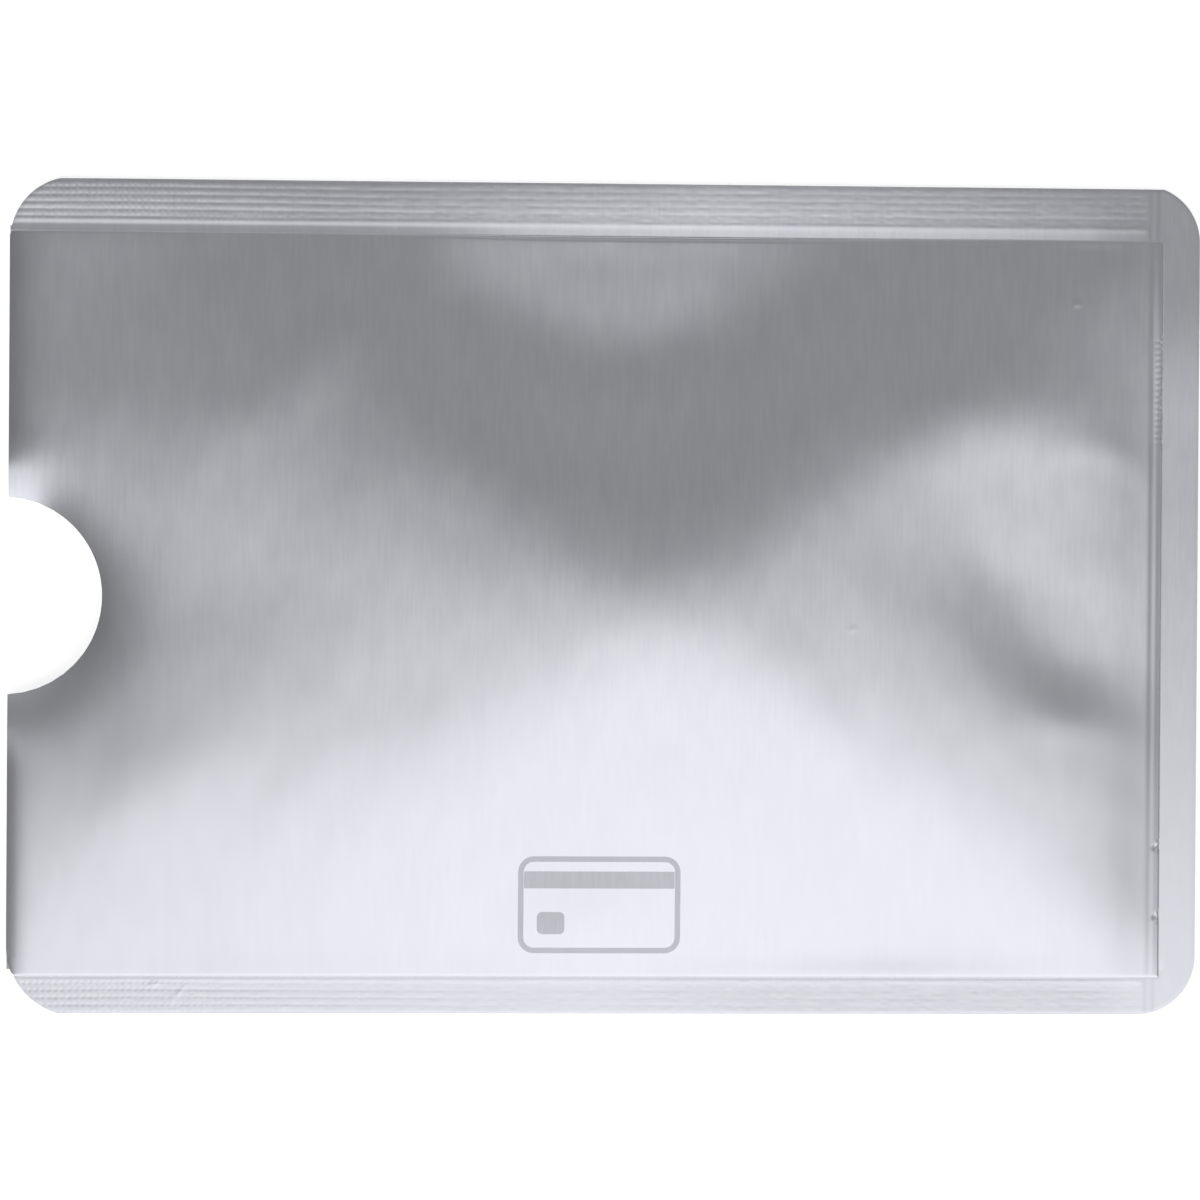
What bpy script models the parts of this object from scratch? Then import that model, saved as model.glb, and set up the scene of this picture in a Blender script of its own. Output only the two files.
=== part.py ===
"""Foil card sleeve: a flat pouch of aluminium-foil laminate that holds one bank card.

Each wall is three bonded layers: a printable outer film, the shielding foil and an inner film that
melts under heat. The walls are heat-sealed together along both long sides and one end. The other end
is the open mouth, with a half-round thumb notch through both walls.

The sleeve lies on its back. +X runs from the mouth to the sealed end, +Y across the sleeve and +Z
out of its front wall. The origin is the middle of the footprint, on the surface that it lies on.
Lengths are in metres.
"""

import math

import bmesh
import bpy
from mathutils import Vector
from mathutils.geometry import delaunay_2d_cdt

# The card, and the room it has in the pocket
card_length = 0.0856
card_width = 0.05398
card_thickness = 0.00076
card_side_play = 0.0004
card_mouth_play = 0.00155
card_lift_play = 0.00024

# Heat-sealed bands, and the shoulders by which the front wall climbs from them to the pocket's roof
upper_seal_width = 0.0034
upper_shoulder_width = 0.0012
lower_seal_width = 0.00312
lower_shoulder_width = 0.0009
end_seal_width = 0.0030
end_shoulder_width = 0.00085

# Outline. Each corner has its arc's radius, and how much of the arc the long edge trims off
upper_mouth_corner = (0.0048, 0.0001)
lower_mouth_corner = (0.0054, 0.00025)
upper_end_corner = (0.0044, 0.0003)
lower_end_corner = (0.0045, 0.0)
notch_radius = 0.0075
notch_centre_out = 0.0004

# Layers of each wall, from the outside in, and the gaps between neighbouring solids
film_thickness = 0.00003
foil_thickness = 0.00003
liner_thickness = 0.00005
bond_gap = 0.00002
edge_gap = 0.0002

# Lengthwise ribs that the sealing jaws press into both long bands
rib_depth = 0.00004
rib_depth_at_end = 0.00002
upper_rib_pitch = 0.00055
upper_rib_count = 6
lower_rib_pitch = 0.0005
lower_rib_count = 5
rib_margin = 0.00008

# The front wall's crown: four slopes that meet at the peak, over hips that are soft near the mouth
crown_height = 0.00112
peak_x = 0.0048
peak_y = -0.0015
mouth_hip_softness = 0.14
end_hip_softness = 0.065
soft_hips_until_x = -0.022
sharp_hips_from_x = 0.0
shoulder_roundness = 1.8

# How far the front wall curls down towards the mouth edge and the thumb notch
mouth_curl_depth = 0.00012
mouth_curl_width = 0.0018
notch_curl_depth = 0.0002
notch_curl_width = 0.0026

# Facet sizes
pocket_step = 0.0034
rib_step = 0.0085
corner_segments = 8
notch_segments = 20
shoulder_steps = 3

# Places that follow from the sizes above
pocket_width = card_width + 2 * card_side_play
sleeve_length = card_mouth_play + card_length + end_shoulder_width + end_seal_width
sleeve_width = (
    pocket_width
    + upper_shoulder_width
    + upper_seal_width
    + lower_shoulder_width
    + lower_seal_width
)
mouth_x = -sleeve_length / 2
end_x = sleeve_length / 2
end_foot_x = end_x - end_seal_width
end_crease_x = end_foot_x - end_shoulder_width
upper_edge_y = sleeve_width / 2
upper_foot_y = upper_edge_y - upper_seal_width
upper_crease_y = upper_foot_y - upper_shoulder_width
lower_edge_y = -sleeve_width / 2
lower_foot_y = lower_edge_y + lower_seal_width
lower_crease_y = lower_foot_y + lower_shoulder_width
notch_x = mouth_x - notch_centre_out

back_foil_z = film_thickness + bond_gap
back_liner_z = back_foil_z + foil_thickness + bond_gap
pocket_floor_z = back_liner_z + liner_thickness
seam_z = pocket_floor_z + bond_gap
roof_z = pocket_floor_z + card_thickness + card_lift_play
front_foil_lift = liner_thickness + bond_gap
front_film_lift = front_foil_lift + foil_thickness + bond_gap

# Broad folds of the front wall: name, middle x and y, direction in degrees, half length, half width,
# height, and how far the ends bend sideways
folds = (
    ("upper_middle_furrow", 0.0020, 0.0180, 0, 0.0160, 0.0075, -0.00036, 0.0080),
    ("upper_left_ridge", -0.0220, 0.0185, 46, 0.0075, 0.0030, 0.000045, 0.0),
    ("end_upper_ridge", 0.0308, 0.0132, 8, 0.0090, 0.0045, 0.00012, -0.0015),
    ("end_furrow", 0.0333, -0.0006, -35, 0.0085, 0.0056, -0.00017, 0.0),
    ("end_lower_furrow", 0.0435, -0.0150, 90, 0.0120, 0.0036, -0.00010, 0.0),
    ("mouth_furrow", -0.0300, 0.0004, 0, 0.0075, 0.0045, -0.00005, 0.0),
    ("lower_left_ridge", -0.0339, -0.0145, 34, 0.0065, 0.0045, 0.00005, 0.0),
    ("lower_middle_ridge", -0.0015, -0.0250, 0, 0.0045, 0.0032, 0.00005, 0.0),
)


def smooth_step(t):
    """0 at t = 0 and 1 at t = 1, level at both ends."""
    t = min(max(t, 0.0), 1.0)
    return t * t * (3 - 2 * t)


def shoulder_share(x, y):
    """0 on the sealed bands and their feet, 1 from the shoulders' creases inwards."""
    share = min(
        (upper_foot_y - y) / upper_shoulder_width,
        (y - lower_foot_y) / lower_shoulder_width,
        (end_foot_x - x) / end_shoulder_width,
    )
    return min(max(share, 0.0), 1.0)


def shoulder_climb(x, y):
    """How far the wall has climbed over a shoulder, which is steepest at its foot."""
    left = 1 - shoulder_share(x, y)
    return (1 - left**shoulder_roundness) ** (1 / shoulder_roundness)


def soft_least(shares, softness):
    """The least of several shares, with a rounded change from one to the next."""
    return -softness * math.log(sum(math.exp(-share / softness) for share in shares))


def hipped_roof(x, y):
    """Share of the crown's height, which the slopes from all four borders have in common."""
    shares = (
        (x - mouth_x) / (peak_x - mouth_x),
        (end_crease_x - x) / (end_crease_x - peak_x),
        (upper_crease_y - y) / (upper_crease_y - peak_y),
        (y - lower_crease_y) / (peak_y - lower_crease_y),
    )
    to_end = smooth_step((x - soft_hips_until_x) / (sharp_hips_from_x - soft_hips_until_x))
    return soft_least(shares, mouth_hip_softness + (end_hip_softness - mouth_hip_softness) * to_end)


def fold_height(x, y):
    """Sum of the folds: each is a bell across its own bent line."""
    height = 0.0
    for _, middle_x, middle_y, degrees, half_length, half_width, rise, bend in folds:
        line = Vector((math.cos(math.radians(degrees)), math.sin(math.radians(degrees))))
        offset = Vector((x - middle_x, y - middle_y))
        along = offset.dot(line) / half_length
        across = (offset.cross(line) + bend * along**2) / half_width
        height += rise * math.exp(-along * along - across * across)
    return height


def mouth_curl(x, y):
    """Depth of the curl towards the mouth edge and the thumb notch."""
    from_edge = max(x - mouth_x, 0.0)
    from_notch = max(math.hypot(x - notch_x, y) - notch_radius, 0.0)
    beside_notch = smooth_step(from_notch / notch_curl_width - 1)
    at_edge = mouth_curl_depth * math.exp(-from_edge / mouth_curl_width) * beside_notch
    return at_edge + notch_curl_depth * math.exp(-from_notch / notch_curl_width)


def crown(x, y):
    """Height of the crowned wall above the roof at its borders."""
    return crown_height * hipped_roof(x, y) + fold_height(x, y) - mouth_curl(x, y)


def rib_press(x, y):
    """Depth that the sealing jaws press the front wall down, in ribs along both long bands."""
    bands = (
        (upper_edge_y - rib_margin - y, upper_rib_pitch, upper_rib_count),
        (y - lower_edge_y - rib_margin, lower_rib_pitch, lower_rib_count),
    )
    along = (x - mouth_x) / (end_crease_x - edge_gap - mouth_x)
    if along >= 1:
        return 0.0
    depth = rib_depth + (rib_depth_at_end - rib_depth) * max(along, 0.0)
    for inwards, pitch, count in bands:
        if 0 < inwards < pitch * count:
            phase = inwards / pitch % 1
            return depth * (1 - abs(2 * phase - 1))
    return 0.0


def front_wall_z(x, y):
    """Underside of the front wall's inner film."""
    rise = roof_z - seam_z + crown(x, y)
    return seam_z + shoulder_climb(x, y) * rise - rib_press(x, y)


def seal_z(x, y):
    """Underside of a fused band, which follows the front wall up the shoulder."""
    return front_wall_z(x, y) if shoulder_share(x, y) > 0 else back_liner_z


def arc(centre_x, centre_y, radius, start, end, segments):
    """Points from the start angle to the end angle, both in degrees."""
    points = []
    for i in range(segments + 1):
        angle = math.radians(start + (end - start) * i / segments)
        points.append((centre_x + radius * math.cos(angle), centre_y + radius * math.sin(angle)))
    return points


def rounded_corner(side_x, edge_y, corner):
    """A corner arc that is level with the short edge and that the long edge trims a little."""
    radius, trim = corner
    to_side = math.copysign(1, side_x)
    to_edge = math.copysign(1, edge_y)
    centre_x = side_x - to_side * radius
    centre_y = edge_y - to_edge * (radius - trim)
    reach = math.asin((radius - trim) / radius)
    points = []
    for i in range(corner_segments + 1):
        angle = reach * i / corner_segments
        x = centre_x + to_side * radius * math.cos(angle)
        points.append((x, centre_y + to_edge * radius * math.sin(angle)))
    return points


def notch_arc():
    """The thumb notch's edge, from the lower end on the mouth edge to the upper one."""
    half = math.degrees(math.acos(notch_centre_out / notch_radius))
    return arc(notch_x, 0, notch_radius, -half, half, notch_segments)


def outline():
    """The sleeve's edge, anticlockwise from the mouth's upper corner."""
    return (
        rounded_corner(mouth_x, upper_edge_y, upper_mouth_corner)[::-1]
        + notch_arc()[::-1]
        + rounded_corner(mouth_x, lower_edge_y, lower_mouth_corner)
        + rounded_corner(end_x, lower_edge_y, lower_end_corner)[::-1]
        + rounded_corner(end_x, upper_edge_y, upper_end_corner)
    )


def steps_between(start, end, step):
    """Evenly spaced places from start to end, about one step apart."""
    count = max(1, round(abs(end - start) / step))
    return [start + (end - start) * i / count for i in range(count + 1)]


def inside(point, polygon):
    """Whether a point lies inside a closed polygon."""
    x, y = point
    found = False
    for (x1, y1), (x2, y2) in zip(polygon, polygon[1:] + polygon[:1]):
        if (y1 > y) != (y2 > y) and x < x1 + (y - y1) / (y2 - y1) * (x2 - x1):
            found = not found
    return found


def triangulated(polygon, lines, points):
    """Plan of a sheet: its points and triangles, with the given lines as edges."""
    coords = [Vector(point) for point in polygon]
    edges = [(i, (i + 1) % len(coords)) for i in range(len(coords))]
    for line in lines:
        first = len(coords)
        coords += [Vector(point) for point in line]
        edges += [(i, i + 1) for i in range(first, len(coords) - 1)]
    coords += [Vector(point) for point in points]
    verts, _, faces, *_ = delaunay_2d_cdt(coords, edges, [], 0, 1e-7, False)
    kept = []
    for face in faces:
        middle = sum((verts[i] for i in face), Vector((0, 0))) / len(face)
        if inside(middle, polygon):
            kept.append(tuple(face))
    return [tuple(vert) for vert in verts], kept


def shoulder_line(share):
    """A line round the pocket, this share of the way up the shoulders, as it is faceted in plan."""
    upper = upper_foot_y - share * upper_shoulder_width
    lower = lower_foot_y + share * lower_shoulder_width
    end = end_foot_x - share * end_shoulder_width
    along = steps_between(mouth_x, end_crease_x, pocket_step)
    across = steps_between(lower_crease_y, upper_crease_y, pocket_step)
    line = [(x, upper) for x in along[:-1]] + [(end, upper)]
    line += [(end, y) for y in across[-2:0:-1]]
    return line + [(end, lower)] + [(x, lower) for x in along[-2::-1]]


def rib_lines():
    """Crests and valleys of the pressed ribs."""
    along = steps_between(mouth_x, end_crease_x - edge_gap, rib_step)
    lines = []
    for i in range(2 * upper_rib_count + 1):
        y = upper_edge_y - rib_margin - i * upper_rib_pitch / 2
        lines.append([(x, y) for x in along])
    for i in range(2 * lower_rib_count + 1):
        y = lower_edge_y + rib_margin + i * lower_rib_pitch / 2
        lines.append([(x, y) for x in along])
    return lines


def front_plan():
    """Plan shared by every layer of the front wall, so that stacked layers stay parallel."""
    lines = [shoulder_line(i / shoulder_steps) for i in range(shoulder_steps + 1)]
    lines += rib_lines()
    along = steps_between(mouth_x, end_crease_x, pocket_step)
    across = steps_between(lower_crease_y, upper_crease_y, pocket_step)
    liner_end_x = end_crease_x - edge_gap
    for y in (upper_crease_y - edge_gap, lower_crease_y + edge_gap):
        lines.append([(x, y) for x in along[:-1]] + [(liner_end_x, y)])
    for x in (liner_end_x, end_crease_x):
        lines.append([(x, lower_edge_y), (x, lower_crease_y)])
        lines.append([(x, upper_crease_y), (x, upper_edge_y)])
    lines.append([(liner_end_x, lower_crease_y)] + [(liner_end_x, y) for y in across[1:-1]]
                 + [(liner_end_x, upper_crease_y)])
    points = []
    for x in along[:-1]:
        for y in across[1:-1]:
            if math.hypot(x - notch_x, y) > notch_radius + pocket_step / 3:
                points.append((x, y))
    return triangulated(outline(), lines, points)


def foil_material(name, colour, roughness, metallic):
    """A Principled material with one colour."""
    material = bpy.data.materials.new(name)
    material.use_nodes = True
    shader = material.node_tree.nodes["Principled BSDF"]
    shader.inputs["Base Color"].default_value = (*colour, 1)
    shader.inputs["Roughness"].default_value = roughness
    shader.inputs["Metallic"].default_value = metallic
    material.diffuse_color = (*colour, 1)
    return material


def layer(name, plan, keep, low, high, material):
    """A thin closed sheet over the kept part of a plan, between two heights that vary over it."""
    coords, triangles = plan
    bm = bmesh.new()
    made = {}
    for triangle in triangles:
        middle_x = sum(coords[i][0] for i in triangle) / len(triangle)
        middle_y = sum(coords[i][1] for i in triangle) / len(triangle)
        if not keep(middle_x, middle_y):
            continue
        for i in triangle:
            if i not in made:
                x, y = coords[i]
                made[i] = bm.verts.new((x, y, low(x, y)))
        bm.faces.new([made[i] for i in triangle])
    raised = bmesh.ops.extrude_face_region(bm, geom=bm.faces[:])
    for item in raised["geom"]:
        if isinstance(item, bmesh.types.BMVert):
            item.co.z = high(item.co.x, item.co.y)
    bmesh.ops.recalc_face_normals(bm, faces=bm.faces)
    mesh = bpy.data.meshes.new(name)
    bm.to_mesh(mesh)
    bm.free()
    mesh.shade_smooth()
    mesh.set_sharp_from_angle(angle=math.radians(40))
    mesh.materials.append(material)
    sheet = bpy.data.objects.new(name, mesh)
    bpy.context.collection.objects.link(sheet)
    return sheet


def lifted(surface, height):
    """The same surface, this much higher."""
    return lambda x, y: surface(x, y) + height


def level(height):
    """A flat surface at one height."""
    return lambda x, y: height


def everywhere(x, y):
    return True


def in_pocket(x, y):
    inner = end_crease_x - edge_gap > x
    return inner and lower_crease_y + edge_gap < y < upper_crease_y - edge_gap


def in_upper_band(x, y):
    return x < end_crease_x - edge_gap and y > upper_crease_y


def in_lower_band(x, y):
    return x < end_crease_x - edge_gap and y < lower_crease_y


def in_end_band(x, y):
    return x > end_crease_x


def back_wall(film, foil, liner):
    """The flat wall that the sleeve lies on. Its inner film ends where the fused bands begin."""
    whole = triangulated(outline(), [], [])
    layer("back_film", whole, everywhere, level(0), level(film_thickness), film)
    foil_top = back_foil_z + foil_thickness
    layer("back_foil", whole, everywhere, level(back_foil_z), level(foil_top), foil)
    end = end_foot_x - edge_gap
    upper = upper_foot_y - edge_gap
    lower = lower_foot_y + edge_gap
    corners = [(mouth_x, lower), (end, lower), (end, upper), (mouth_x, upper)]
    inner = triangulated(corners + notch_arc()[::-1], [], [])
    layer("back_liner", inner, everywhere, level(back_liner_z), level(pocket_floor_z), liner)


def front_wall(film, foil, liner):
    """The crowned wall, whose outer layers run over the pocket and the sealed bands alike."""
    plan = front_plan()
    liner_top = lifted(front_wall_z, liner_thickness)
    layer("front_liner", plan, in_pocket, front_wall_z, liner_top, liner)
    foil_low = lifted(front_wall_z, front_foil_lift)
    foil_high = lifted(front_wall_z, front_foil_lift + foil_thickness)
    layer("front_foil", plan, everywhere, foil_low, foil_high, foil)
    film_low = lifted(front_wall_z, front_film_lift)
    film_high = lifted(front_wall_z, front_film_lift + film_thickness)
    layer("front_film", plan, everywhere, film_low, film_high, film)
    return plan, liner_top


def sealed_bands(plan, liner_top, fused):
    """The bands in which both inner films are melted together, up to the crease of the shoulder."""
    layer("upper_seal", plan, in_upper_band, seal_z, liner_top, fused)
    layer("lower_seal", plan, in_lower_band, seal_z, liner_top, fused)
    layer("end_seal", plan, in_end_band, seal_z, liner_top, fused)


def build():
    for old in list(bpy.data.objects):
        bpy.data.objects.remove(old, do_unlink=True)
    film = foil_material("silver_film", (0.78, 0.79, 0.82), 0.32, 1.0)
    foil = foil_material("bare_foil", (0.86, 0.87, 0.88), 0.22, 1.0)
    liner = foil_material("seal_film", (0.80, 0.81, 0.82), 0.45, 0.0)
    fused = foil_material("fused_film", (0.74, 0.75, 0.76), 0.5, 0.0)
    back_wall(film, foil, liner)
    plan, liner_top = front_wall(film, foil, liner)
    sealed_bands(plan, liner_top, fused)


build()
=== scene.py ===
"""The foil card sleeve's looks: fine foil walls, pressed seals, print, floor, light and camera.

The solids give the outline, the borders of the pocket and the heights; the meshes made here stay
inside their box and add the soft folds, ribs and marks of the real foil. Lengths are in metres.
"""

import math

import bpy
import numpy as np
from mathutils import Matrix, Vector
from mathutils.geometry import delaunay_2d_cdt


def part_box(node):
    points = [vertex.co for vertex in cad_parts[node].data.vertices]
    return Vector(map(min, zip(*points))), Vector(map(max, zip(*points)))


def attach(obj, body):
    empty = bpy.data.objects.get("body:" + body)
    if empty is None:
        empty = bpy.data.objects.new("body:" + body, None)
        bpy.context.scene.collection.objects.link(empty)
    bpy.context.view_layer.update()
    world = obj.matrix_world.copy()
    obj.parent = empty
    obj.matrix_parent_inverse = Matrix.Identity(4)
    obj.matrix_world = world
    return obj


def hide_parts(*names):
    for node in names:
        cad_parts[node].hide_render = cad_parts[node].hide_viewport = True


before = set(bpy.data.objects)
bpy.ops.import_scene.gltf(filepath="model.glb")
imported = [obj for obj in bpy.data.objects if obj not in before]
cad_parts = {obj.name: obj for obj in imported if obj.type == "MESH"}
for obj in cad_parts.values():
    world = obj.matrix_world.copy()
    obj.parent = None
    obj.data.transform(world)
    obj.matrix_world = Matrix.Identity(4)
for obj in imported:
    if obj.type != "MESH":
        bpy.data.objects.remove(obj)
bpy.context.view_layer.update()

MM = 0.001

# Places read from the solids
EDGE_GAP = 0.2 * MM
sleeve_low, sleeve_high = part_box("back_film")
floor_low, floor_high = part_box("back_liner")
MOUTH_X, END_X = sleeve_low.x, sleeve_high.x
LOWER_Y, UPPER_Y = sleeve_low.y, sleeve_high.y
END_FOOT_X = floor_high.x + EDGE_GAP
UPPER_FOOT_Y = floor_high.y + EDGE_GAP
LOWER_FOOT_Y = floor_low.y - EDGE_GAP
END_CREASE_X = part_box("end_seal")[0].x
UPPER_CREASE_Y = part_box("upper_seal")[0].y
LOWER_CREASE_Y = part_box("lower_seal")[1].y
POCKET_FLOOR_Z = floor_high.z
POCKET_HEIGHT = 1.0 * MM
ROOF_Z = POCKET_FLOOR_Z + POCKET_HEIGHT
BACK_LINER_Z = floor_low.z

# Outline, as on the solids: radius of each corner's arc, and how much of it the long edge trims off
CORNERS = {
    "upper_mouth": (MOUTH_X, UPPER_Y, 4.8 * MM, 0.1 * MM),
    "lower_mouth": (MOUTH_X, LOWER_Y, 5.4 * MM, 0.25 * MM),
    "lower_end": (END_X, LOWER_Y, 4.5 * MM, 0.0),
    "upper_end": (END_X, UPPER_Y, 4.4 * MM, 0.3 * MM),
}
NOTCH_RADIUS = 7.5 * MM
NOTCH_X = MOUTH_X - 0.4 * MM

# Layers above the underside of the front wall
SEAM_Z = POCKET_FLOOR_Z + 0.02 * MM
LINER_TOP = 0.05 * MM
FOIL_LOW = 0.07 * MM
FOIL_TOP = 0.10 * MM
FILM_LOW = 0.12 * MM
FILM_TOP = 0.15 * MM

# Crown of the front wall: four slopes that meet at the peak, with hips of different softness
CROWN_HEIGHT = 1.10 * MM
PEAK_X = 4.8 * MM
PEAK_Y = -1.5 * MM
SHARP_HIP = 0.065
SOFT_HIP = 0.14
LOWER_HIP = 0.08
SHARPER_FROM, SHARP_FROM = -22 * MM, 0.0
SOFTER_BELOW, SOFT_BELOW = 4 * MM, -5 * MM

# Curl towards the mouth edge, which is weaker and narrower on the lower half and stops beside the
# notch, and curl towards the thumb notch
CURL_DEPTH = 0.22 * MM
CURL_WIDTH = 1.4 * MM
LOWER_CURL_SHARE = 0.45
LOWER_CURL_NARROWER = 0.55
NOTCH_CURL_DEPTH = 0.35 * MM
NOTCH_CURL_WIDTH = 2.5 * MM
LOWER_CURL_FULL_Y, LOWER_CURL_FADE = -10 * MM, 14 * MM
CURL_CLEARS_NOTCH, CURL_CLEARS_OVER = 2 * MM, 4 * MM

# Shoulders rise steeply at their foot and round over; they are rounder in the middle of the upper side
SQUARE_SHOULDER = 20.0
ROUND_SHOULDER = 4.0
ROUND_MIDDLE_X = 4 * MM
ROUND_HALF_LENGTH = 22 * MM

# Where the steps rise, the wall's roll towards the end crease, and how far the layers below the film
# stay inside its steps
UPPER_RISE_Y = UPPER_FOOT_Y - 0.6 * MM
LOWER_RISE_Y = LOWER_FOOT_Y - 0.25 * MM
END_RISE_X = END_FOOT_X + 0.1 * MM
END_ROLL = 0.020 * MM
END_ROLLS_FROM, END_ROLLS_TO = END_CREASE_X - 3.2 * MM, END_CREASE_X + 0.1 * MM
UNDER_INSET = 0.04 * MM
ON_BANDS_BELOW = 0.3

# Two lines that the end jaw presses across the sleeve, each a slight drop towards the end. They are
# weaker on the long bands and on the lower half
END_LINES_X = (END_CREASE_X, END_RISE_X - 0.35 * MM)
END_LINE_DROP = 0.028 * MM
END_LINE_WIDTH = 0.46 * MM
LINE_SHARE_ON_BANDS = 0.8
LINE_SHARE_LOWER = 0.45
LINES_FADE_OVER = 22 * MM

# The upper band arches up: places along it, and its slopes on the strip at its foot, above it and at
# its edge. The lower band lifts a little towards the end
ARCH_X = (-44 * MM, -22 * MM, -14 * MM, -6 * MM, 8 * MM, 26 * MM, 38 * MM)
ARCH_ON_STRIP = (-0.004, -0.004, 0.006, 0.034, 0.042, 0.034, 0.020)
ARCH_AT_FOOT = (0.038, 0.024, 0.027, 0.038, 0.044, 0.026, 0.014)
ARCH_AT_EDGE = (0.010, 0.000, 0.004, 0.010, 0.020, 0.012, 0.0)
LOWER_LIFT_X = (0.0, 12 * MM)
LOWER_LIFT = (0.003, 0.012)
LIFT_ENDS_OVER = 6 * MM

# Slight wave of the end band: its middle, half width and height
END_WAVE_Y = 20 * MM
END_WAVE_WIDTH = 6 * MM
END_WAVE_HEIGHT = 0.055 * MM

# Folds of the empty pouch: middle x and y, direction, half length, half width, height, sideways bend
# at the ends and lean towards one side (mm, degrees)
FOLDS = {
    "upper_middle_furrow": (1.5, 18.0, 0, 16.6, 7.5, -0.375, 7.2, 0),
    "upper_left_ridge": (-22.0, 18.5, 46, 7.5, 3.0, 0.045, 0, 0),
    "upper_mouth_furrow": (-40.0, 21.0, 0, 9.0, 7.0, -0.10, 0, 0),
    "notch_lip": (-43.0, 5.5, 0, 2.5, 3.0, -0.11, 0, 0),
    "left_hip_ridge": (-29.6, 13.8, 0, 5.0, 3.2, 0.02, 0, 0),
    "end_upper_ridge": (30.8, 14.1, 8, 9.0, 4.5, 0.105, -1.5, 0),
    "end_arc": (37.7, 11.8, -12, 3.2, 1.5, 0.02, -0.6, 0),
    "end_furrow": (33.3, -0.6, -35, 9.2, 5.6, -0.18, 0, 0.3),
    "end_dark_furrow": (35.0, -5.3, -15, 5.5, 2.8, -0.034, 0, 0),
    "end_mark": (35.8, -9.3, -5, 3.2, 1.6, 0.02, 0, 0),
    "end_middle_furrow": (37.5, 5.8, 0, 4.5, 3.0, -0.028, 0, 0),
    "end_crease_furrow": (40.5, 12.5, 0, 3.0, 5.0, -0.045, 0, 0),
    "lower_right_furrow": (25.5, -21.5, 0, 7.5, 8.0, -0.07, 0, 0),
    "end_lower_ridge": (38.5, -11.5, 0, 6.0, 6.0, 0.035, 0, 0),
    "end_lower_furrow": (43.5, -15.0, 90, 12.0, 5.2, -0.135, 0, 0),
    "mouth_furrow": (-30.0, 0.4, 0, 7.5, 4.5, -0.05, 0, 0),
    "lower_left_ridge": (-33.9, -14.5, 34, 6.5, 4.5, 0.06, 0, 0),
    "lower_middle_ridge": (-1.5, -25.0, 0, 4.5, 3.2, 0.05, 0, 0),
    "upper_left_border": (-39.0, 28.2, 0, 9.0, 2.4, 0.032, 0, 0),
    "upper_middle_border": (1.0, 28.2, 0, 14.0, 1.8, 0.038, 0, 0),
    "upper_bright_border": (-11.0, 27.5, 0, 5.0, 4.0, 0.050, 0, 0),
    "upper_end_border": (36.5, 26.8, 0, 3.5, 0.55, -0.012, 0, 0),
    "lower_mouth_furrow": (-35.0, -27.0, 0, 9.0, 9.0, -0.09, 0, 0),
    "lower_end_border": (20.0, -28.9, 0, 15.0, 1.3, 0.045, 0, 0),
    "lower_mouth_border": (-20.0, -28.9, 0, 22.0, 1.3, 0.018, 0, 0),
    "end_hip_ridge": (17.0, 15.0, 0, 6.0, 6.0, 0.03, 0, 0),
    "end_lower_hollow": (17.5, -14.5, 0, 5.5, 7.5, -0.045, 0, 0),
    "mouth_lower_hollow": (-16.0, -6.8, 0, 6.0, 5.0, -0.03, 0, 0),
}

# Small dents, nicks and scratches: middle x and y, direction, half length, half width and height
MARKS = {
    "upper_streak": (33.5, 24.9, 88, 0.9, 0.20, -0.008),
    "upper_pimple": (35.9, 22.8, 10, 0.30, 0.26, 0.010),
    "middle_pimple": (18.7, -2.2, 20, 0.40, 0.25, 0.003),
    "upper_middle_pimple": (-22.7, 27.0, 5, 0.5, 0.25, 0.002),
    "end_nick": (42.18, -18.75, 60, 0.24, 0.16, -0.018),
    "lower_end_nick": (42.20, -24.05, 60, 0.26, 0.16, -0.018),
    "lower_corner_nick": (42.8, -28.3, 80, 0.5, 0.2, -0.006),
    "lower_left_dent": (-34.3, -29.5, 10, 0.4, 0.2, 0.008),
    "lower_left_crease": (-32.3, -30.0, 50, 0.8, 0.14, 0.005),
    "lower_scratch": (24.3, -30.2, 5, 1.6, 0.30, -0.002),
    "lower_dot": (-24.4, -31.2, 0, 0.25, 0.15, 0.003),
}

# Row of ticks across the end band: its place and count, and each tick's direction, half length, half
# width and height
TICK_X = 42.2
TICK_HIGH_Y, TICK_LOW_Y = 20.0, 12.2
TICK_COUNT = 18
TICK_DEGREES = 8
TICK_SIZE = (0.24, 0.11, -0.0026)

# Uneven foil: cell along x and y, height and seed of each smooth random pattern
CRINKLES = ((3.4 * MM, 5.2 * MM, 0.0080 * MM, 21), (1.3 * MM, 2.6 * MM, 0.0024 * MM, 22))

# Ribs, knurl and bead that the sealing jaws leave, the roll of the cut edge and the waves of the back
RIB_PITCH = 0.558 * MM
KNURL_PITCH = 0.50 * MM
RIB_DEPTH = 0.0095 * MM
RIB_SHARPNESS = 2.2
RIB_PHASE = 0.1 * MM
RIB_ENDS_OVER = 0.6 * MM
RIB_SIDE_FADE = 0.2 * MM
KNURLED_LENGTH = 40 * MM
KNURL_VARIES = 0.45
SPECKLE = 0.0008 * MM
BEAD_HEIGHT = 0.006 * MM
BEAD_WIDTH = 0.28 * MM
BEAD_INSET = 0.35 * MM
EDGE_ROLL = 0.004 * MM
EDGE_ROLL_WIDTH = 0.12 * MM
BACK_WAVE = 0.002 * MM

# Of each long band: the least knurl, the ribs' strength, and the share that is left beyond the knurl
UPPER_BAND_RIBS = (0.6, 0.9, 0.30)
LOWER_BAND_RIBS = (1.1, 0.8, 0.18)

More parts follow.
